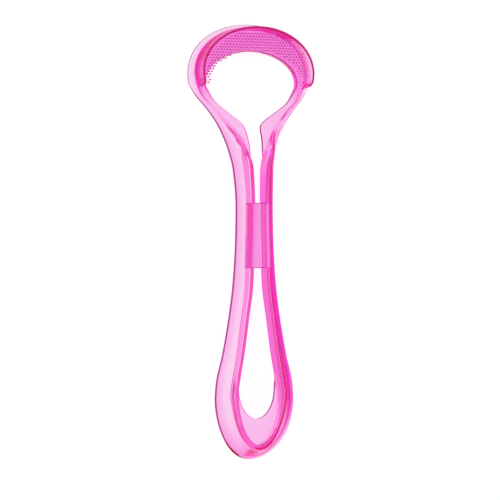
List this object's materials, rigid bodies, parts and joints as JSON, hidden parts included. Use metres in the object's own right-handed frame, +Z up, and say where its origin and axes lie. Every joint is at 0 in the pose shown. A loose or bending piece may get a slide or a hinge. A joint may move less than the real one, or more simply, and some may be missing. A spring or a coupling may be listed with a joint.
{
  "type": "tongue scraper",
  "caption": "One-piece moulded plastic tongue scraper: looped handle, arched head with a standing scraping rim and a field of short pins.",
  "frame": {"origin": "centre of the footprint, on the surface that the scraper lies on", "axes": "+Y from the tail to the head, +Z up out of the front, the side of the pins, +X to the right"},
  "size_m": [0.0518, 0.1604, 0.0088],
  "materials": {
    "plastic": "polished translucent pink moulding",
    "pin_plastic": "translucent pink pins, lightly matt from many small faces"
  },
  "bodies": {
    "root": {"tail_loop": "plastic", "tail_floor": "plastic", "left_arm": "plastic", "right_arm": "plastic", "bridge": "plastic", "left_neck": "plastic", "right_neck": "plastic", "head_plate": "plastic", "scraper_rim": "plastic", "pins_left": "pin_plastic", "pins_upper_left": "pin_plastic", "pins_top": "pin_plastic", "pins_upper_right": "pin_plastic", "pins_right": "pin_plastic"}
  },
  "joints": []
}
